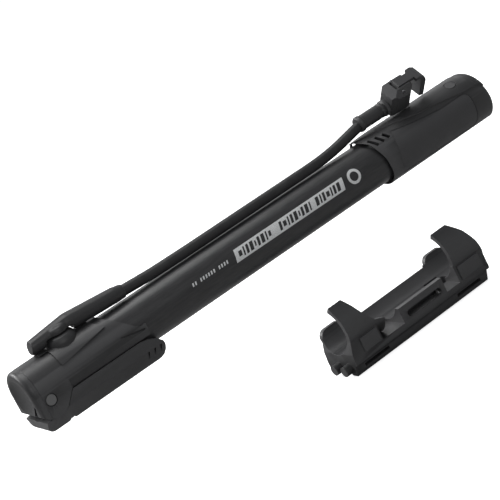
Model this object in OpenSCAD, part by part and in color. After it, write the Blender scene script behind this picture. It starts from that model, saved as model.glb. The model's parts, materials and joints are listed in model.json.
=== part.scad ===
// Bicycle mini pump with a fold-out foot flap, a swivelling hose and a clip-on frame bracket.
// X runs along the barrel, from the base end to the handle end. +Z is the hose side.
// The origin is on the barrel axis, at the seam of the end cap. Units are millimetres.

/* [Barrel] */
// Outer radius of the barrel tube
barrel_r = 12.5; // [12.3:0.1:12.5]
// Wall thickness of the barrel tube
barrel_wall = 1.9; // [1.6:0.1:1.9]
// Position of the barrel's open end
barrel_end = 284; // [280:1:284]

/* [Base] */
// Half width and roof radius of the base shell
base_r = 13.5; // [13.5:0.1:13.8]
// Depth of the closed foot flap below the barrel axis
flap_depth = 19; // [18.5:0.1:19.5]
// Position of the foot flap's toe
toe_x = 66; // [64:0.5:67]
// Thickness of each cheek beside the flap's pivot
cheek_wall = 3.4; // [3:0.1:3.6]

/* [Handle] */
// Outer radius of the handle's grip
handle_r = 14.4; // [14.3:0.1:14.5]
// How far the handle's spine stands above the grip
spine_rise = 0.5; // [0.3:0.1:0.6]
// Position of the handle's far end
handle_end = 297; // [296:0.5:298]
// Slant of the handle's far end, in degrees
end_slant = 9; // [0:1:10]

/* [Hose] */
// Radius of the hose
hose_r = 2.9; // [2.7:0.1:3]
// Position of the swivel axis along the barrel
swivel_x = 25.5; // [25:0.5:26]
// Roll of the pump head about the hose, in degrees
head_roll = 42; // [30:1:45]

/* [Bracket] */
// Distance from the barrel axis down to the bracket's clip axis
bracket_drop = 62; // [58:1:66]
// Inner radius of the spring clips
clip_r = 12.65; // [12.6:0.05:12.7]
// Wall thickness of the spring clips
clip_wall = 2.6; // [2.2:0.1:2.8]
// Length of each mounting slot
slot_length = 10; // [8:0.5:12]
// Distance between the two mounting slots
slot_spacing = 48; // [46:1:50]

/* [Hidden] */
$fn = 96;

fit = 0.05;                                // play between fitted pieces
run = 0.06;                                // radial play of a turning or sliding shaft
far = 200;                                 // longer than any piece that it cuts
bore_r = barrel_r - barrel_wall;           // inside of the barrel tube
tube_start = 34;                           // where the barrel tube meets the base block
pin_x = 3.6;                               // axis of the foot flap
pin_z = -3.8;
pin_r = 2;
pin_head_r = 2.6;
knuckle_r = 4.2;                           // the flap's knuckle around its pin
sweep_in = 9.1;                            // everything fixed near the pin stays inside this radius
sweep_out = 9.25;                          // everything of the flap stays outside it
cavity_y = base_r - cheek_wall;            // half width between the cheeks
ledge_z = -4.7;                            // underside of the side ledges
bevel_z = -11.1;                           // where the flap's bevel begins
sole_y = 8;                                // half width of the flap's flat sole
rod_r = 4;
seal_cord_r = 0.9;
piston_x = 41;                             // front of the piston when the pump is shut
gland_x = 272;
rod_end = 291;                             // where the piston rod ends in the handle
sleeve_r = barrel_r + 0.4;                 // inside of the handle
hose_z = 20.9;                             // hose axis at the head
turret_r = 6.2;                            // hub of the swivel arm
turret_foot = 8.2;                         // foot of the domed turret
turret_top = 17.6;
stem_r = 3;
clip_out_r = clip_r + clip_wall;
pits = [[171.6, 15.4], [218, 9.6]];         // start and length of each pit in the bar
pads = [[159, 11.4], [229.4, 15]];         // start and length of each raised pad
bar_low = -23.5;                           // underside of the bracket, from its clip axis
valve_x = 249;                             // axis of the head's valve opening
lever_x = 247;                             // axis of the thumb lever
lever_z = 10.4;
cam_drop = 0.8;                            // the cam's centre hangs below the lever's axis
cam_r = 2.6;
head_x = 248.6;                            // middle of the head's round body
head_half = 6.6;
strip_half = 2.4;                          // half width of the lever's strip
black = [0.10, 0.10, 0.105];
dark = [0.14, 0.14, 0.145];
rubber = [0.07, 0.07, 0.07];
steel = [0.72, 0.73, 0.75];

// ---- helpers ----

// A cylinder along X that starts at x0
module rod_x(x0, r, len) translate([x0, 0, 0]) rotate([0, 90, 0]) cylinder(r = r, h = len);

// A hollow cylinder along X
module tube_x(x0, r_out, r_in, len) difference() {
    rod_x(x0, r_out, len);
    rod_x(x0 - 1, r_in, len + 2);
}

// A cylinder along Y, centred on the XZ plane
module rod_y(x, z, r, half) translate([x, half, z]) rotate([90, 0, 0]) cylinder(r = r, h = 2 * half);

// A drawing in the XZ plane, extruded to both sides of it
module side_view(half) translate([0, half, 0]) rotate([90, 0, 0]) linear_extrude(2 * half) children();

// A drawing in the YZ plane, extruded along X
module cross_section(x0, len) translate([x0, 0, 0]) rotate([90, 0, 90]) linear_extrude(len) children();

// An O-ring around the X axis, just inside r_out
module ring_x(x, r_out) translate([x, 0, 0]) rotate([0, 90, 0])
    rotate_extrude() translate([r_out - seal_cord_r, 0]) circle(r = seal_cord_r, $fn = 24);

// A square groove for an O-ring on an outside diameter
module ring_groove(x, r) tube_x(x - seal_cord_r - fit, r + 1, r - 2 * seal_cord_r - fit,
                                2 * (seal_cord_r + fit));

// The same piece on both sides of the pump
module both_sides() {
    children();
    mirror([0, 1, 0]) children();
}

function arc(cx, cz, r, a0, a1, steps) =
    [for (i = [0:steps]) let (a = a0 + (a1 - a0) * i / steps) [cx + r * cos(a), cz + r * sin(a)]];

// ---- barrel and base ----

module barrel_tube() color(black)
    tube_x(tube_start, barrel_r, bore_r, barrel_end - tube_start);

// Outline of the base shell from the side; the end edge leans forward down to the ledge
module base_side() polygon(concat(
    [[0, 16], [44, 16], [46, 12.5], [48.5, 10.5], [52, 7], [56, 3], [58.5, 1.4],
     [61.3, 1.2], [61.3, ledge_z], [14.8, ledge_z]],
    arc(pin_x, pin_z, sweep_in, -52, -128, 8),
    [[0, -10]]));

// The raised arrow on the roof
module arrow_side() polygon([[9, 17], [16.5, 6.6], [43.8, 10], [38, 17]]);

// The domed turret that the swivel arm turns on
module turret() translate([swivel_x, 0, 0]) rotate_extrude() polygon(concat(
    [[0, 8], [turret_foot, 8]], arc(turret_foot - 4.6, turret_top - 4.6, 4.6, 0, 90, 8),
    [[0, turret_top]]));

module base_shell() color(dark) difference() {
    union() {
        intersection() {
            union() {
                rod_x(0, base_r, 62);
                cross_section(0, 15.2) square([2 * base_r, 2 * base_r - 1], center = true);
            }
            side_view(20) base_side();
        }
        rod_x(13, barrel_r, tube_start - 13);
        intersection() {
            rod_x(8, base_r + 0.7, 40);
            side_view(20) arrow_side();
        }
        turret();
    }
    // The roof of the square part follows the round shell
    difference() {
        translate([-1, -20, 0]) cube([17, 40, 13.6]);
        rod_x(-2, base_r, 20);
    }
    rod_x(tube_start, barrel_r, far);
    // Room for the flap's knuckle and web
    translate([-1, -cavity_y, -30]) cube([16.2, 2 * cavity_y, 31.2]);
    rod_y(pin_x, pin_z, pin_r, 20);
    both_sides() translate([pin_x, -base_r - 1, pin_z]) rotate([-90, 0, 0])
        cylinder(r = pin_head_r + 0.35, h = 2.5);
    // Air way from the barrel to the swivel
    rod_x(23, 3.4, tube_start - 22);
    translate([swivel_x, 0, 0]) cylinder(r = 1.8, h = 14);
    translate([swivel_x, 0, 9.5]) cylinder(r = stem_r + run, h = 20);
    // Groove for the flank's shadow line above the ledge
    both_sides() translate([47, -base_r - 1, 1.6]) rotate([0, 12, 0]) cube([13, 1.6, 0.7]);
}

// Rounded rim of the end cap: distance from the middle, and height above the cap's face
cap_rim = [for (a = [0:15:90]) [11 + 2.4 * sin(a), 2.4 - 2.4 * cos(a)]];

// The cap is round above and straight-sided below, like the cheeks behind it
module end_cap() color(dark) difference() {
    intersection() {
        union() {
            translate([-4.2, 0, 0]) rotate([0, 90, 0]) rotate_extrude()
                polygon(concat([[0, 0]], cap_rim, [[base_r - 0.1, 4.15], [0, 4.15]]));
            translate([-4.2, 0, -13]) both_sides() linear_extrude(13) polygon(concat(
                [[0, 0]], [for (p = cap_rim) [p[1], p[0]]], [[4.15, base_r - 0.1], [4.15, 0]]));
        }
        // The flap's nose swings past the lower half
        union() {
            translate([-6, -20, -3]) cube([12, 40, 20]);
            rod_y(pin_x, pin_z, sweep_in, 20);
        }
    }
    // Dished face
    translate([-25.6, 0, 0]) sphere(r = 23.6);
    // Slanted pocket
    translate([-4.2, -7.7, -6.2]) rotate([30, 0, 0]) cube([5, 3, 7], center = true);
    // Hollow behind the face for the flap's knuckle
    translate([-1.2, -cavity_y, -14]) cube([2.4, 2 * cavity_y, 15.2]);
}

module flap_pin() color(steel) {
    rod_y(pin_x, pin_z, pin_r, base_r - 0.6);
    both_sides() translate([pin_x, -base_r + 0.3, pin_z]) rotate([-90, 0, 0])
        cylinder(r = pin_head_r, h = 1.1);
}

module valve_seat() color(dark) difference() {
    rod_x(tube_start + fit, bore_r - fit, 4);
    translate([tube_start, 0, 0]) rotate([0, 90, 0]) cylinder(r1 = 2.6, r2 = 1.4, h = 2);
    rod_x(tube_start - 1, 1.4, 8);
    ring_groove(tube_start + 2.4, bore_r - fit);
}

module seat_seal() color(rubber) ring_x(tube_start + 2.4, bore_r - 0.02);

module check_ball() color(steel) translate([32.6, 0, 0]) sphere(r = 2.4);

// A coil of six rings, each a turn of wire
module check_spring() color(steel) for (i = [0:5])
    translate([24.2 + i * 1.2, 0, 0]) rotate([0, 90, 0])
        rotate_extrude() translate([2.2, 0]) circle(r = 0.3, $fn = 16);

module gland() color(dark) difference() {
    union() {
        rod_x(gland_x, bore_r - fit, barrel_end - gland_x + 1);
        rod_x(barrel_end + fit, barrel_r, 3);
    }
    rod_x(gland_x - 1, rod_r + run, 20);
    rod_x(gland_x + 4, rod_r + 2 * seal_cord_r + 0.1, 2 * seal_cord_r + 0.1);
}

module rod_seal() color(rubber) translate([gland_x + 4.05 + seal_cord_r, 0, 0]) rotate([0, 90, 0])
    rotate_extrude() translate([rod_r + 0.03 + seal_cord_r, 0]) circle(r = seal_cord_r, $fn = 24);

// ---- foot flap ----

// Outline from the side: sloping heel, straight top edge and a toe that curls down
module flap_side() polygon(concat(
    arc(pin_x, pin_z, sweep_out, -115, -48, 9),
    [[14.9, ledge_z - 0.35], [54, ledge_z - 0.35], [59, -6], [63, -8], [65.2, -10.4],
     [toe_x, -13], [toe_x - 0.1, -15.6], [toe_x - 1.2, -17.8], [toe_x - 3.4, -flap_depth], [12, -flap_depth],
     [11.2, -flap_depth + 0.8], [9.2, -flap_depth + 0.8], [8.4, -flap_depth]],
    arc(0.6, -flap_depth + 3.8, 3.8, 270, 180, 6), [[-3.2, -12.6]]));

// Outline across: upright flanks, bevels and a flat sole
module flap_across() polygon([
    [-base_r, 0], [-base_r, bevel_z], [-sole_y, -flap_depth], [sole_y, -flap_depth],
    [base_r, bevel_z], [base_r, 0]]);

// The web between knuckle and flap stays clear of the end cap when the flap opens
module web_side() polygon([[pin_x, 0.3], [8, -0.8], [12.6, -5.05], [14.9, -5.05], [9.4, -11.2],
                           [11.8, -8.3], [5, -8.1], [pin_x - 2, -7.3]]);

module foot_flap() color(black) difference() {
    union() {
        difference() {
            intersection() {
                side_view(20) flap_side();
                cross_section(-6, 80) flap_across();
            }
            rod_x(-6, barrel_r + 0.4, 80);
            // Hollow underside
            translate([17, -6.5, -16.6]) cube([43, 13, 6]);
            // Grip grooves across the toe
            both_sides() for (x = [55, 58.6, 62.2])
                translate([x, -base_r - 0.6, -17.4]) rotate([0, 8, 0]) cube([0.9, 3.4, 6.2]);
        }
        intersection() {
            side_view(cavity_y - 0.2) web_side();
            rod_y(pin_x, pin_z, 12.4, 20);
        }
        rod_y(pin_x, pin_z, knuckle_r, cavity_y - 0.2);
    }
    rod_y(pin_x, pin_z, pin_r + run, 20);
}

// ---- hose and swivel ----

// The moulded arm: an arched, tapering body whose heel is cut off at a slant
module swivel_arm() color(dark) difference() {
    union() {
        hull() {
            translate([12, 0, 17.9]) sphere(r = 3.7, $fn = 20);
            translate([32, 0, 19]) sphere(r = 4.6, $fn = 20);
        }
        hull() {
            translate([32, 0, 19]) sphere(r = 4.6, $fn = 20);
            translate([58.5, 0, 17.3]) sphere(r = 4, $fn = 20);
        }
        translate([58.5, 0, 17.3]) rotate([0, 96, 0]) cylinder(r1 = 4, r2 = 3.4, h = 5.6);
        translate([swivel_x, 0, turret_top + 0.1]) rotate_extrude() polygon(concat(
            [[0, 0], [turret_r, 0]], arc(turret_r - 2.4, 1.2, 2.4, 0, 90, 6), [[0, 3.6]]));
    }
    // Slanted heel
    translate([9.4, -10, 14]) rotate([0, 14, 0]) translate([-20, 0, -5]) cube([20, 20, 20]);
    // Room to turn around the turret
    translate([swivel_x, 0, 5]) cylinder(r = turret_foot + 0.3, h = turret_top - 4.9);
    // Flat underside that passes over the shell's roof
    translate([0, -10, 5]) cube([swivel_x + 18, 20, 9.5]);
    translate([swivel_x, 0, 10]) cylinder(r = stem_r, h = 11.5);
    translate([60.5, 0, 16.9]) rotate([0, 92, 0]) cylinder(r = hose_r + fit, h = 10);
}

module swivel_stem() color(steel) difference() {
    translate([swivel_x, 0, 10]) cylinder(r = stem_r, h = 11.4);
    translate([swivel_x, 0, 9]) cylinder(r = 1.4, h = 11);
    translate([swivel_x, 0, 12]) rotate_extrude() translate([stem_r - 1.2, 0]) square([2, 1.7]);
}

module stem_seal() color(rubber) translate([swivel_x, 0, 12.85]) rotate_extrude()
    translate([stem_r - 0.6, 0]) circle(r = 0.58, $fn = 24);

// Bends of the hose in the XZ plane, from the arm to the head
hose_path = [[64, 16.75], [80, 15.8], [105, 15.6], [190, 15.8], [203, 17], [213, 18.9],
             [220, 20.3], [226, hose_z], [240.2, hose_z]];

module hose() color(rubber) for (i = [0:len(hose_path) - 2]) hull()
    for (p = [hose_path[i], hose_path[i + 1]])
        translate([p[0], 0, p[1]]) rotate([0, 90, 0]) sphere(r = hose_r, $fn = 16);

// Crimped collar in front of the head
module hose_ferrule() color(dark) translate([0, 0, hose_z]) rotate([0, 90, 0])
    difference() {
        rotate_extrude() polygon([[0, 222], [3.6, 222], [3.9, 223], [3.9, 234], [3.55, 234.4],
            [3.55, 235.2], [4, 235.6], [4, 236.6], [3.6, 237], [3.6, 237.6], [4.4, 238],
            [4.4, 239.8], [0, 239.8]]);
        translate([0, 0, 200]) cylinder(r = hose_r + 0.4, h = 60);
    }

// ---- pump head, drawn upright and then rolled about the hose ----

module rolled() translate([0, 0, hose_z]) rotate([head_roll, 0, 0]) children();

module head_side() polygon([[239.9, -3.3], [239.9, 8.4], [243.4, 12.6], [252.6, 12.6],
                            [255.6, 9.6], [255.6, -1.3], [253.6, -3.3]]);

// Seen from above: a round body with a blunt nose towards the hose
module head_plan() union() {
    translate([head_x, 0]) circle(r = head_half);
    polygon([[239.9, -4], [242.6, -6.2], [head_x, -head_half], [head_x, head_half], [242.6, 6.2],
             [239.9, 4]]);
}

module head_across() polygon([[-6.6, -1.1], [-4.8, -3.3], [4.8, -3.3], [6.6, -1.1], [6.6, 8.4],
                              [3.6, 12.6], [-3.6, 12.6], [-6.6, 8.4]]);

module head_body() color(black) rolled() difference() {
    intersection() {
        translate([0, 0, -5]) linear_extrude(20) head_plan();
        side_view(10) head_side();
        cross_section(230, 40) head_across();
    }
    rod_x(238, hose_r + fit, 2.4);
    rod_x(239, 1.4, 4.6);
    // Chamber, plunger guide and the duct that feeds them
    translate([valve_x, 0, -6]) cylinder(r = 4.4, h = 11);
    translate([valve_x, 0, 4]) cylinder(r = 2.45, h = 5);
    translate([243, 0, 0]) cylinder(r = 0.9, h = 4.5);
    translate([242.3, 0, 3.6]) rotate([0, 90, 0]) cylinder(r = 0.9, h = 4);
    // Channel for the lever
    translate([243.6, -strip_half - 0.2, 7.0 - fit]) cube([7, 2 * strip_half + 0.4, 10]);
    translate([249, -strip_half - 0.2, 10.9]) cube([20, 2 * strip_half + 0.4, 5]);
    rod_y(lever_x, lever_z, 1, 20);
}

module valve_grommet() color(rubber) rolled() translate([valve_x, 0, -2.25]) difference() {
    cylinder(r = 4.35, h = 4.15);
    translate([0, 0, -1]) cylinder(r = 2.7, h = 8);
}

module chuck_cap() color(dark) rolled() translate([valve_x, 0, -3.9]) difference() {
    cylinder(r = 4.35, h = 1.6);
    translate([0, 0, -1]) cylinder(r = 3.2, h = 5);
    for (a = [0:45:315]) rotate(a) translate([4.75, 0, -1]) cylinder(r = 0.7, h = 5, $fn = 16);
}

module plunger() color(dark) rolled() translate([valve_x, 0, 0]) difference() {
    union() {
        translate([0, 0, 2]) cylinder(r = 4.3, h = 1.3);
        translate([0, 0, 2]) cylinder(r = 2.39, h = 4.85);
    }
    translate([0, 0, 1]) cylinder(r = 0.9, h = 3.4);
    translate([-5, 0, 4]) rotate([0, 90, 0]) cylinder(r = 0.6, h = 10, $fn = 24);
}

module lever_pin() color(steel) rolled() rod_y(lever_x, lever_z, 1, 5);

// Seen from the side, the lever runs along the top and turns down over the head's end
module lever_side() polygon([[lever_x - 2.4, 11.15], [259.4, 11.15], [260.6, 9.6], [260.9, -2.2],
    [264, -3], [264.4, 7.6], [262.8, 11], [259.6, 13], [lever_x - 1, 13.2]]);

module thumb_lever() color(black) rolled() difference() {
    union() {
        intersection() {
            side_view(4.2) lever_side();
            union() {
                translate([240, -strip_half, -5]) cube([20, 2 * strip_half, 20]);
                translate([256.6, -4.2, -5]) cube([10, 8.4, 20]);
            }
        }
        rod_y(lever_x, lever_z - cam_drop, cam_r, strip_half);
        rod_y(lever_x, lever_z, cam_r, strip_half);
    }
    rod_y(lever_x, lever_z, 1 + run, 20);
}

// ---- handle, rod and piston ----

// Shape of the handle's mouth from the side: a pointed tip on top, slanting back below
module mouth_side() polygon([[211.5, 16], [213.5, 13.6], [216, 11.6], [217, 7.5], [218.5, 2.2],
                             [219.4, -3.3], [221, -10.4], [222, -16], [310, -16], [310, 16]]);

// The far end is rounded and slants; behind the rounding the cutter flares clear of the grip
module handle_outside(r, end) intersection() {
    rod_x(200, r, 120);
    translate([end, 0, 0]) rotate([0, -end_slant, 0]) rotate([0, -90, 0]) rotate_extrude()
        polygon(concat([[0, 0]],
            [for (a = [0:10:90]) [r - 4.6 + 5 * sin(a), 5 - 5 * cos(a)]], [[r + 34, 110], [0, 110]]));
    side_view(20) mouth_side();
}

module spine_plan() polygon([[208, 0], [216, 1.6], [230.5, 5.4], [250, 9.4], [264, 10.9], [281, 12.6],
    [300, 13], [300, -13], [281, -12.6], [264, -10.9], [250, -9.4], [230.5, -5.4], [216, -1.6]]);

// Outline of the grip panels from the side, grown by g
module panel_side(g) polygon(concat(
    [[227.5 - g, -11 - g]], arc(279, -9, 3 + g, -80, 0, 6), arc(277.4, 3.4, 4 + g, 5, 80, 6),
    [[262, 7.2 + g], [245, 9 + g], [231 - g, 11 + g], [228.5 - g, 6], [227 - g, -2]]));

module plug_frame() rotate([25, 0, 0]) translate([278, 0, 0]) children();

module handle_shell() color(dark) difference() {
    union() {
        handle_outside(handle_r, handle_end - 2);
        intersection() {
            handle_outside(handle_r + spine_rise, handle_end - 1.6);
            translate([0, 0, 5]) linear_extrude(20) spine_plan();
        }
    }
    rod_x(200, sleeve_r, 89.2);
    // Rebate around the inside of the mouth
    difference() {
        rod_x(200, handle_r - 0.5, 60);
        translate([2, 0, 0]) side_view(20) mouth_side();
    }
    rod_x(288, rod_r, 4);
    rod_x(288, 1.5, 20);
    translate([291.9, 0, 0]) rotate([0, -end_slant, 0]) rod_x(0, 9 + fit, 12);
    // Slanted vents behind the collar
    both_sides() for (i = [0:2]) rotate([-52 + 1.5 * i, 0, 0])
        translate([218.6 + 4.2 * i, -handle_r + 0.6, 0]) rotate([0, -24, 0])
            cube([1.9, 3, 6.2 - i], center = true);
    // Pockets for the grip panels
    intersection() {
        side_view(20) panel_side(0.14);
        tube_x(200, 20, handle_r - 0.75, 100);
    }
    plug_frame() translate([0, 0, handle_r - 1.2]) cylinder(r = 3.25, h = 5);
}

module grip_panels() color(black) intersection() {
    side_view(20) panel_side(0);
    tube_x(200, handle_r - 0.12, handle_r - 0.7, 100);
}

module handle_plug() color(dark) plug_frame() translate([0, 0, handle_r - 1.15])
    cylinder(r = 2.95, h = 1.5);

module handle_cap() color(dark) translate([292, 0, 0]) rotate([0, -end_slant, 0]) difference() {
    rod_x(0.05, 9, 2.4);
    rod_x(-1, 4.8, 2.3);
}

module rod_screw() color(steel) {
    rod_x(rod_end + fit, 2.9, 1.1);
    rod_x(280, 1.5, rod_end + 0.5 - 280);
}

module piston_rod() color(steel) difference() {
    rod_x(46, rod_r, rod_end - 46);
    rod_x(279.5, 1.5, 20);
}

module piston_head() color(dark) difference() {
    rod_x(piston_x, bore_r - 0.25, 9);
    rod_x(46, rod_r, 10);
    tube_x(piston_x + 3, 20, bore_r - 2 * seal_cord_r - 0.2, 2 * seal_cord_r + 0.2);
}

module piston_seal() color(rubber) ring_x(piston_x + 3.1 + seal_cord_r, bore_r - 0.04);

// ---- frame bracket ----

// A clip's arm from the side: straight near edge, rounded tip, far edge sweeping down to the bar
module arm_side(x, lean) polygon(concat(
    [[x, -26], [x, 8]], arc(x + 4, 11.4, 4, 180, 90, 5), arc(x + 6.4, 12, 3.4, 90, 10, 5),
    [[x + 11.6, 8], [x + 14 + lean, 2], [x + 18 + 2 * lean, -2.6], [x + 24, -5], [x + 24, -26]]));

// The arm at the bracket's far end has a rim that runs down to the corner
module end_arm_side() polygon(concat(
    [[227.8, -26], [227.8, 8]], arc(231.8, 12.2, 4, 180, 90, 5), arc(235, 12.6, 3.6, 90, 30, 5),
    [[243, 8], [246.6, 0], [250, -10], [250.6, -14.6], [248.6, -17.6], [244, -26]]));

// A spring clip: two thirds of a ring, open upwards and away from the near flank
module clip_ring() difference() {
    rod_x(140, clip_out_r, 120);
    rod_x(130, clip_r, 140);
    cross_section(130, 140) polygon([[0, 0], [-11.7, 24], [30, 24], [30, -4.2]]);
}

// The short arms of the far side end in round tongues
module tongue_side(x) polygon(concat(
    [[x, -26], [x, -7]], arc(x + 5, -7, 5, 180, 90, 5), arc(x + 11, -7, 5, 90, 0, 5), [[x + 19, -26]]));

module clips() intersection() {
    clip_ring();
    union() {
        translate([0, -20, 0]) side_view(20) {
            arm_side(153.8, 0);
            end_arm_side();
        }
        translate([0, 20, 0]) side_view(20) for (x = [153.8, 229]) tongue_side(x);
    }
}

// Cross-section of the bracket's bar: a saddle below, a flat flank on each side
module bar_across() polygon(concat(
    [[-clip_out_r + 1, -5], [-clip_out_r + 0.6, -17.6], [-clip_out_r + 2.4, -18.4],
     [-clip_out_r + 3, bar_low], [-8, bar_low]],
    arc(0, bar_low - 8, 11.3, 135, 45, 8),
    [[8, bar_low], [10.5, bar_low], [12, -18], [12, -5]]));

module frame_bracket() color(black) translate([0, 0, -bracket_drop]) difference() {
    union() {
        clips();
        difference() {
            intersection() {
                cross_section(150, 98) bar_across();
                side_view(20) polygon([[150.6, bar_low], [151.6, -12], [153.8, -5], [250, -5],
                    [250.6, -15], [247, -18.2], [245.6, bar_low]]);
            }
            rod_x(130, clip_r, 140);
            // The bar is lower between the clips
            translate([177, -20, -6]) cube([50, 40, 8]);
            // Pits beside the clips, open upwards
            for (p = pits) translate([p[0], -clip_out_r - 1, -14.4]) cube([p[1], 21, 12]);
        }
        // Raised pads beside the pits
        for (p = pads) translate([p[0], -clip_out_r + 0.2, -14]) cube([p[1], 3, 7.8]);
        // Rounded lugs at the end of the bar
        for (y = [-7, 2]) translate([0, y, bar_low + 4]) rod_x(147, 2.8, 6);
    }
    // Long slot in the deck
    translate([0, -clip_out_r - 2, -11.4]) rotate([-90, 0, 0]) {
        translate([192.8, 0, 0]) cylinder(r = 1.9, h = 9.4);
        translate([213.2, 0, 0]) cylinder(r = 1.9, h = 9.4);
        translate([192.8, -1.9, 0]) cube([20.4, 3.8, 9.4]);
    }
    // Strap slots low on the flank
    for (x = [157, 224]) translate([x, -20, -21.4]) cube([17, 40, 1.8]);
    // Mounting slots through the saddle
    for (s = [-1, 1]) translate([201 + s * slot_spacing / 2, 0, -30]) {
        for (e = [-1, 1]) translate([e * (slot_length / 2 - 2.6), 0, 0]) cylinder(r = 2.6, h = 28);
        translate([-slot_length / 2 + 2.6, -2.6, 0]) cube([slot_length - 5.2, 5.2, 28]);
    }
}

barrel_tube();
base_shell();
end_cap();
flap_pin();
valve_seat();
seat_seal();
check_ball();
check_spring();
gland();
rod_seal();
foot_flap();
swivel_arm();
swivel_stem();
stem_seal();
hose();
hose_ferrule();
head_body();
valve_grommet();
chuck_cap();
lever_pin();
plunger();
thumb_lever();
handle_shell();
grip_panels();
handle_plug();
handle_cap();
rod_screw();
piston_rod();
piston_head();
piston_seal();
frame_bracket();
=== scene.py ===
import json
import math

import bmesh
import bpy
from mathutils import Matrix, Vector
from mathutils.bvhtree import BVHTree


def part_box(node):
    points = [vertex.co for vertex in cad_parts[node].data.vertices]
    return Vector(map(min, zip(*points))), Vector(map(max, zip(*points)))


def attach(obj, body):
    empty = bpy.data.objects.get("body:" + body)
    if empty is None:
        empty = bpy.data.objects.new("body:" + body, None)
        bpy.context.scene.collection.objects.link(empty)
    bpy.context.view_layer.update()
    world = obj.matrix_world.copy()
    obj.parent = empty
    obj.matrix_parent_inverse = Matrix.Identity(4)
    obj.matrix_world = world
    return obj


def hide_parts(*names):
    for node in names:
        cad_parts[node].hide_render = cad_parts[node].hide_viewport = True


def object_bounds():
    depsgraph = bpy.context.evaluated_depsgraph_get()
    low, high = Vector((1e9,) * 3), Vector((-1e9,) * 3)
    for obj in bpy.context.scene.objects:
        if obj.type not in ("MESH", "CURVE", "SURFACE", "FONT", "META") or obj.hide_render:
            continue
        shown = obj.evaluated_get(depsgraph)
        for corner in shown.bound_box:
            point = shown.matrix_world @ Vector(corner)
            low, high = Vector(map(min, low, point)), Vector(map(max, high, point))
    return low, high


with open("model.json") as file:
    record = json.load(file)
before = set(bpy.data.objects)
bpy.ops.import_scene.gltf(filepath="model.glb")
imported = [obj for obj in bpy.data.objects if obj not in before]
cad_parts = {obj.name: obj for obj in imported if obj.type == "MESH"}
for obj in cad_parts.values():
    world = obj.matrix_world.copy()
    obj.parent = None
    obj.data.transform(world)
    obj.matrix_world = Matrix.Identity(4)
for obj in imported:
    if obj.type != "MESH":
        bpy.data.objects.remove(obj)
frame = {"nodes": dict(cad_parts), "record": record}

MM = 0.001
CAD_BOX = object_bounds()
NODES = frame["nodes"]
SLOTS = {p["node"]: p["material_slot"] for p in frame["record"]["subparts"]}
COLOURS = {m["slot"]: m["base_color"] for m in frame["record"]["materials"]}

# Camera: what it looks at, and from where
AIM = Vector((133.6, 0, -2)) * MM
CAMERA_DISTANCE = 0.8186
AZIMUTH, ELEVATION, ROLL = 26.57, 15.84, 26.37
LENS = 119.9
SENSOR = 36

# The floor and the sky look white to the camera and throw less light than that on the object
FLOOR_GLOW = 0.8
FLOOR_BOUNCE = (0.3, 0.3, 0.3)
WORLD_GLOW = 0.2

# How finely round pieces are divided
ROUND_SIDES = 48
HOSE_SIDES = 32
HOSE_STEPS = 72

# The voxels that blend the arm's surface, and how often it is smoothed after that
ARM_VOXEL = 0.32 * MM
ARM_PASSES = 5

# The ferrule's rim: distance from the ferrule's back end, and radius, in millimetres
RIM = [(-2.2, 3.1), (-1.9, 4.0), (-1.2, 4.35), (0.2, 4.35), (0.9, 4.0), (1.4, 3.5)]

# Printing on the barrel: its middle line is at this angle from +Y towards +Z
PRINT_ANGLE = 165
PRINT_LIFT = 0.03 * MM
MARK_LIFT = 0.05 * MM
BAND_HEIGHT = 6.4 * MM
BAND_START, BAND_END = 119 * MM, 191 * MM
DASH_START, DASH_END = 92 * MM, 115 * MM
DASH_HEIGHT = 1.7 * MM
PRINT_LEAN = 0.28
MARK_WIDTHS = (2.0 * MM, 0.9 * MM, 1.5 * MM)
MARK_GAP = 0.95 * MM
DISC_X, DISC_R = 198.2 * MM, 4 * MM


# ---- node materials ----

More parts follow.
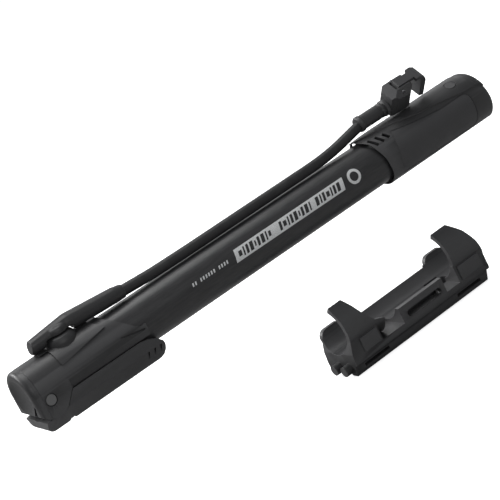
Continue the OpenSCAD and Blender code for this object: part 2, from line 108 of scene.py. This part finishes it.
class Shader:
    """A node tree with one Principled BSDF, and short calls to add what feeds it."""

    def __init__(self, name, colour, roughness, metallic=0.0, specular=0.5):
        self.material = bpy.data.materials.new(name)
        self.material.use_nodes = True
        self.nodes = self.material.node_tree.nodes
        self.links = self.material.node_tree.links
        self.bsdf = self.nodes["Principled BSDF"]
        self.bsdf.inputs["Base Color"].default_value = (*colour, 1)
        self.bsdf.inputs["Roughness"].default_value = roughness
        self.bsdf.inputs["Metallic"].default_value = metallic
        self.bsdf.inputs["Specular IOR Level"].default_value = specular
        self.place = self.nodes.new("ShaderNodeTexCoord").outputs["Object"]
        self.material.diffuse_color = (*colour, 1)

    def noise(self, scale, detail=4.0, stretch=(1, 1, 1)):
        mapping = self.nodes.new("ShaderNodeMapping")
        mapping.inputs["Scale"].default_value = stretch
        self.links.new(self.place, mapping.inputs["Vector"])
        texture = self.nodes.new("ShaderNodeTexNoise")
        texture.inputs["Scale"].default_value = scale
        texture.inputs["Detail"].default_value = detail
        self.links.new(mapping.outputs["Vector"], texture.inputs["Vector"])
        return texture.outputs["Fac"]

    def remap(self, value, low, high, start=0.3, end=0.7):
        node = self.nodes.new("ShaderNodeMapRange")
        node.inputs["From Min"].default_value = start
        node.inputs["From Max"].default_value = end
        node.inputs["To Min"].default_value = low
        node.inputs["To Max"].default_value = high
        self.links.new(value, node.inputs["Value"])
        return node.outputs["Result"]

    def mix(self, factor, a, b):
        node = self.nodes.new("ShaderNodeMix")
        node.data_type = "RGBA"
        node.inputs["A"].default_value = (*a, 1)
        node.inputs["B"].default_value = (*b, 1)
        self.links.new(factor, node.inputs["Factor"])
        return node.outputs["Result"]

    def feed(self, value, name):
        self.links.new(value, self.bsdf.inputs[name])

    def relief(self, heights, edge_radius):
        """Rounds the edges in shading, then adds each (height, depth in metres, strength) as a bump."""
        normal = None
        if edge_radius:
            bevel = self.nodes.new("ShaderNodeBevel")
            bevel.samples = 6
            bevel.inputs["Radius"].default_value = edge_radius
            normal = bevel.outputs["Normal"]
        for height, depth, strength in heights:
            bump = self.nodes.new("ShaderNodeBump")
            bump.inputs["Distance"].default_value = depth
            bump.inputs["Strength"].default_value = strength
            self.links.new(height, bump.inputs["Height"])
            if normal is not None:
                self.links.new(normal, bump.inputs["Normal"])
            normal = bump.outputs["Normal"]
        if normal is not None:
            self.feed(normal, "Normal")


def lighter(colour, factor):
    return tuple(min(1.0, c * factor) for c in colour)


def moulding(slot, roughness, grain, depth, edge=0.22 * MM, edge_gain=2.2):
    """Moulded plastic: fine spark-eroded grain, uneven gloss, and sharp convex edges painted a little
    lighter.
    """
    colour = COLOURS[slot]
    s = Shader(slot, colour, roughness)
    cloudy = s.noise(90, 3)
    fine = s.noise(grain, 5)
    s.feed(s.remap(cloudy, roughness - 0.05, roughness + 0.07), "Roughness")
    # Base colour is painted lighter on sharp convex edges, found by pointiness
    lighter_edges = s.remap(s.nodes.new("ShaderNodeNewGeometry").outputs["Pointiness"], 0, 1, 0.52, 0.6)
    s.feed(s.mix(lighter_edges, colour, lighter(colour, edge_gain)), "Base Color")
    s.relief([(fine, depth, 0.5), (cloudy, 0.05 * MM, 0.12)], edge)
    return s.material


def barrel_finish(slot):
    """Satin tube: short fibres along the length under a thin clear coat."""
    colour = COLOURS[slot]
    s = Shader(slot, colour, 0.36)
    fibres = s.noise(900, 4, (0.12, 1, 1))
    cloudy = s.noise(40, 2)
    s.feed(s.mix(s.remap(fibres, 0, 1), lighter(colour, 0.85), lighter(colour, 1.35)), "Base Color")
    s.feed(s.remap(cloudy, 0.33, 0.4), "Roughness")
    s.bsdf.inputs["Coat Weight"].default_value = 0.25
    s.bsdf.inputs["Coat Roughness"].default_value = 0.3
    s.relief([(fibres, 0.01 * MM, 0.35)], 0.15 * MM)
    return s.material


def rubber_finish(slot, roughness):
    """Rubber: dull, with a fine bloom that is lighter in patches."""
    colour = COLOURS[slot]
    s = Shader(slot, colour, roughness, specular=0.4)
    bloom = s.noise(160, 5)
    fine = s.noise(2600, 3)
    s.feed(s.mix(s.remap(bloom, 0, 1), colour, lighter(colour, 1.6)), "Base Color")
    s.feed(s.remap(bloom, roughness - 0.06, roughness + 0.08), "Roughness")
    s.relief([(fine, 0.015 * MM, 0.5)], 0)
    return s.material


def metal_finish(slot, roughness, stretch, scratch):
    """Metal with turning or drawing marks along one direction."""
    colour = COLOURS[slot]
    s = Shader(slot, colour, roughness, metallic=1.0)
    marks = s.noise(1500, 3, stretch)
    s.feed(s.remap(marks, roughness - 0.06, roughness + 0.1), "Roughness")
    s.feed(s.mix(s.remap(marks, 0, 1), lighter(colour, 0.9), lighter(colour, 1.08)), "Base Color")
    s.relief([(marks, scratch, 0.3)], 0.1 * MM)
    return s.material


def print_finish(slot):
    """Silver ink: fine flakes and an uneven gloss."""
    colour = lighter(COLOURS[slot], 1.5)
    s = Shader(slot, colour, 0.42, metallic=0.15)
    flakes = s.noise(3500, 2)
    s.feed(s.mix(s.remap(flakes, 0, 1), lighter(colour, 0.8), lighter(colour, 1.2)), "Base Color")
    s.feed(s.remap(s.noise(600, 3), 0.36, 0.5), "Roughness")
    s.relief([(flakes, 0.005 * MM, 0.3)], 0)
    return s.material


FINISHES = {
    "composite": barrel_finish("composite"),
    "moulded_black": moulding("moulded_black", 0.42, 1900, 0.02 * MM),
    "head_plastic": moulding("head_plastic", 0.36, 2200, 0.014 * MM),
    "grip_plastic": moulding("grip_plastic", 0.55, 1100, 0.05 * MM),
    "bracket_plastic": moulding("bracket_plastic", 0.4, 1800, 0.02 * MM),
    "hose_rubber": rubber_finish("hose_rubber", 0.42),
    "seal_rubber": rubber_finish("seal_rubber", 0.5),
    "pin_grey": moulding("pin_grey", 0.4, 1800, 0.02 * MM, edge_gain=1.5),
    "steel": metal_finish("steel", 0.28, (1, 0.05, 1), 0.006 * MM),
    "rod_alloy": metal_finish("rod_alloy", 0.22, (0.05, 1, 1), 0.004 * MM),
    "decal": print_finish("decal"),
}


def dress(obj, slot):
    obj.data.materials.clear()
    obj.data.materials.append(FINISHES[slot])


# ---- mesh helpers ----

def new_piece(name, bm, slot, body):
    mesh = bpy.data.meshes.new(name)
    bm.to_mesh(mesh)
    bm.free()
    obj = bpy.data.objects.new(name, mesh)
    bpy.context.scene.collection.objects.link(obj)
    dress(obj, slot)
    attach(obj, body)
    return obj


def circle(radius, sides=ROUND_SIDES):
    """Points (u, v) on a circle about (0, 0)."""
    turns = [2 * math.pi * k / sides for k in range(sides)]
    return [(radius * math.cos(a), radius * math.sin(a)) for a in turns]


def smooth_flanks(obj):
    """Smooth shading on the four-cornered faces, and none on the flat ends."""
    for face in obj.data.polygons:
        face.use_smooth = len(face.vertices) == 4


def rings_to_tube(bm, rings):
    """Joins rings of vertices end to end and closes both ends."""
    for a, b in zip(rings, rings[1:]):
        for i, v in enumerate(a):
            j = (i + 1) % len(a)
            bm.faces.new((v, a[j], b[j], b[i]))
    bm.faces.new(list(reversed(rings[0])))
    bm.faces.new(rings[-1])


def evaluated_mesh(obj):
    graph = bpy.context.evaluated_depsgraph_get()
    return bpy.data.meshes.new_from_object(obj.evaluated_get(graph))


def solid_tree(node):
    mesh = NODES[node].data
    return BVHTree.FromPolygons([v.co for v in mesh.vertices], [p.vertices[:] for p in mesh.polygons])


# ---- soft and blended pieces ----

def hose_line():
    """The hose's centre line, read off its CAD solid and smoothed."""
    tree = solid_tree("hose")
    low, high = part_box("hose")
    margin = 1.2 * MM
    points = []
    for i in range(HOSE_STEPS + 1):
        x = low.x + margin + (high.x - low.x - 2 * margin) * i / HOSE_STEPS
        top = tree.ray_cast(Vector((x, 0, high.z + 1)), Vector((0, 0, -1)))[0]
        foot = tree.ray_cast(Vector((x, 0, low.z - 1)), Vector((0, 0, 1)))[0]
        points.append(Vector((x, 0, (top.z + foot.z) / 2)))
    for _ in range(6):
        inner = [(a + b * 2 + c) / 4 for a, b, c in zip(points, points[1:], points[2:])]
        points = [points[0], *inner, points[-1]]
    return points


def make_hose():
    low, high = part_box("hose")
    radius = (high.y - low.y) / 2 * 0.995
    sideways = Vector((0, 1, 0))
    points = hose_line()
    bm = bmesh.new()
    rings = []
    for i, p in enumerate(points):
        along = (points[min(i + 1, len(points) - 1)] - points[max(i - 1, 0)]).normalized()
        up = along.cross(sideways)
        rings.append([bm.verts.new(p + u * sideways + v * up) for u, v in circle(radius, HOSE_SIDES)])
    rings_to_tube(bm, rings)
    bmesh.ops.recalc_face_normals(bm, faces=bm.faces)
    hose = new_piece("hose_smooth", bm, "hose_rubber", "hose_arm")
    smooth_flanks(hose)
    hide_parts("hose")


def make_flange():
    """The raised rim at the back of the ferrule, where the hose goes in."""
    low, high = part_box("hose_ferrule")
    middle = (low.z + high.z) / 2
    bm = bmesh.new()
    rings = [[bm.verts.new((low.x + x * MM, u, middle + v)) for u, v in circle(r * MM)] for x, r in RIM]
    rings_to_tube(bm, rings)
    bmesh.ops.recalc_face_normals(bm, faces=bm.faces)
    smooth_flanks(new_piece("ferrule_flange", bm, "moulded_black", "hose_arm"))


def make_arm():
    """The moulded arm, with the CAD solid's facets and joins blended into one surface."""
    work = bpy.data.objects.new("arm_work", NODES["swivel_arm"].data.copy())
    bpy.context.scene.collection.objects.link(work)
    remesh = work.modifiers.new("Skin", "REMESH")
    remesh.mode = "VOXEL"
    remesh.voxel_size = ARM_VOXEL
    smooth = work.modifiers.new("Blend", "SMOOTH")
    smooth.factor = 0.6
    smooth.iterations = ARM_PASSES
    mesh = evaluated_mesh(work)
    bpy.data.objects.remove(work)
    bm = bmesh.new()
    bm.from_mesh(mesh)
    arm = new_piece("swivel_arm_smooth", bm, "moulded_black", "hose_arm")
    for face in arm.data.polygons:
        face.use_smooth = True
    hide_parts("swivel_arm")


# ---- printing on the barrel ----

def on_barrel(x, s, lift):
    """A point on the tube at x, and s around it from the print's middle line."""
    low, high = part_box("barrel_tube")
    radius = (high.z - low.z) / 2
    t = math.radians(PRINT_ANGLE) - s / radius
    return Vector((x, (radius + lift) * math.cos(t), (radius + lift) * math.sin(t)))


def add_bar(bm, x, width, height, lift=PRINT_LIFT):
    """A patch of print that follows the tube, with both ends leaning."""
    steps = 8

    def point(i, j):
        s = height * (j / steps - 0.5)
        return on_barrel(x + width * i + PRINT_LEAN * s, s, lift)

    near, far = ([bm.verts.new(point(i, j)) for j in range(steps + 1)] for i in (0, 1))
    for j in range(steps):
        bm.faces.new((near[j], near[j + 1], far[j + 1], far[j]))


def add_disc(bm, radii, lift):
    """A round patch in loops narrow enough to follow the tube, from the rim to near the middle."""
    loops = [[bm.verts.new(on_barrel(DISC_X + u, v, lift)) for u, v in circle(r)] for r in radii]
    for outer, inner in zip(loops, loops[1:]):
        for k in range(ROUND_SIDES):
            j = (k + 1) % ROUND_SIDES
            bm.faces.new((outer[k], outer[j], inner[j], inner[k]))
    bm.faces.new(loops[-1])


def make_prints():
    """A band with plain bars, a row of dashes and a disc with a dot. Gaps break both rows into groups."""
    bm = bmesh.new()
    add_bar(bm, BAND_START, BAND_END - BAND_START, BAND_HEIGHT)
    new_piece("print_band", bm, "decal", "barrel")

    bm = bmesh.new()
    x = BAND_START + 2.2 * MM
    for i in range(28):
        width = MARK_WIDTHS[i % len(MARK_WIDTHS)]
        if i not in (9, 10, 20):
            add_bar(bm, x, width, BAND_HEIGHT * (0.66 if i % 4 else 0.4), MARK_LIFT)
        x += width + MARK_GAP
    new_piece("print_marks", bm, "composite", "barrel")

    bm = bmesh.new()
    count = 14
    pitch = (DASH_END - DASH_START) / count
    for i in range(count):
        if i not in (2, 9):
            add_bar(bm, DASH_START + pitch * i, pitch * 0.5, DASH_HEIGHT)
    new_piece("print_dashes", bm, "decal", "barrel")

    bm = bmesh.new()
    add_disc(bm, [DISC_R * f for f in (1, 0.8, 0.6, 0.4, 0.2, 0.08)], PRINT_LIFT)
    new_piece("print_disc", bm, "decal", "barrel")
    bm = bmesh.new()
    add_disc(bm, [DISC_R * f for f in (0.62, 0.46, 0.3, 0.15, 0.06)], MARK_LIFT)
    new_piece("print_dot", bm, "composite", "barrel")


# ---- stage ----

def make_floor():
    low, high = CAD_BOX
    half = 14
    bm = bmesh.new()
    corners = [(-half, -half), (half, -half), (half, half), (-half, half)]
    bm.faces.new([bm.verts.new((x, y, low.z - 0.3 * MM)) for x, y in corners])
    mesh = bpy.data.meshes.new("floor")
    bm.to_mesh(mesh)
    bm.free()
    floor = bpy.data.objects.new("floor", mesh)
    bpy.context.scene.collection.objects.link(floor)
    s = Shader("floor_paper", (0.9, 0.9, 0.9), 0.9, specular=0.1)
    s.relief([(s.noise(30, 3), 0.2 * MM, 0.05)], 0)
    s.bsdf.inputs["Emission Color"].default_value = (1, 1, 1, 1)
    s.bsdf.inputs["Emission Strength"].default_value = FLOOR_GLOW
    bounce = s.nodes.new("ShaderNodeBsdfDiffuse")
    bounce.inputs["Color"].default_value = (*FLOOR_BOUNCE, 1)
    blend = s.nodes.new("ShaderNodeMixShader")
    s.links.new(s.nodes.new("ShaderNodeLightPath").outputs["Is Camera Ray"], blend.inputs["Fac"])
    s.links.new(bounce.outputs["BSDF"], blend.inputs[1])
    s.links.new(s.bsdf.outputs["BSDF"], blend.inputs[2])
    s.links.new(blend.outputs["Shader"], s.nodes["Material Output"].inputs["Surface"])
    mesh.materials.append(s.material)


def add_softbox(name, place, size, power):
    light = bpy.data.lights.new(name, "AREA")
    light.shape = "RECTANGLE"
    light.size, light.size_y = size
    light.energy = power
    obj = bpy.data.objects.new(name, light)
    obj.location = AIM + Vector(place)
    obj.rotation_euler = (-Vector(place)).to_track_quat("-Z", "Y").to_euler()
    bpy.context.scene.collection.objects.link(obj)


def make_lights():
    add_softbox("overhead", (0.0, 0.3, 1.9), (1.6, 1.0), 22)
    add_softbox("back_left", (-1.1, 1.2, 1.0), (1.3, 0.5), 28)
    add_softbox("behind", (0.6, 1.5, 0.75), (2.2, 0.7), 5)
    add_softbox("front", (-0.3, -1.8, 0.9), (1.4, 0.9), 6)
    world = bpy.data.worlds.new("studio")
    bpy.context.scene.world = world
    world.use_nodes = True
    nodes, links = world.node_tree.nodes, world.node_tree.links
    background = nodes["Background"]
    background.inputs["Color"].default_value = (0.95, 0.97, 1, 1)
    strength = nodes.new("ShaderNodeMapRange")
    strength.inputs["To Min"].default_value = WORLD_GLOW
    strength.inputs["To Max"].default_value = 1
    links.new(nodes.new("ShaderNodeLightPath").outputs["Is Camera Ray"], strength.inputs["Value"])
    links.new(strength.outputs["Result"], background.inputs["Strength"])
    bpy.context.scene.view_settings.view_transform = "Standard"


def make_camera():
    camera = bpy.data.cameras.new("camera")
    camera.lens = LENS
    camera.sensor_width = SENSOR
    camera.clip_start = 0.01
    obj = bpy.data.objects.new("camera", camera)
    azimuth, elevation = math.radians(AZIMUTH), math.radians(ELEVATION)
    flat = Vector((math.sin(azimuth), math.cos(azimuth), 0)) * math.cos(elevation)
    forward = flat - Vector((0, 0, math.sin(elevation)))
    level = forward.cross(Vector((0, 0, 1))).normalized()
    upright = level.cross(forward).normalized()
    roll = math.radians(ROLL)
    right = level * math.cos(roll) - upright * math.sin(roll)
    up = right.cross(forward)
    turn = Matrix((right, up, -forward)).transposed().to_4x4()
    obj.matrix_world = Matrix.Translation(AIM - forward * CAMERA_DISTANCE) @ turn
    bpy.context.scene.collection.objects.link(obj)
    bpy.context.scene.camera = obj


for node, obj in NODES.items():
    dress(obj, SLOTS[node])
make_hose()
make_flange()
make_arm()
make_prints()
make_floor()
make_lights()
make_camera()
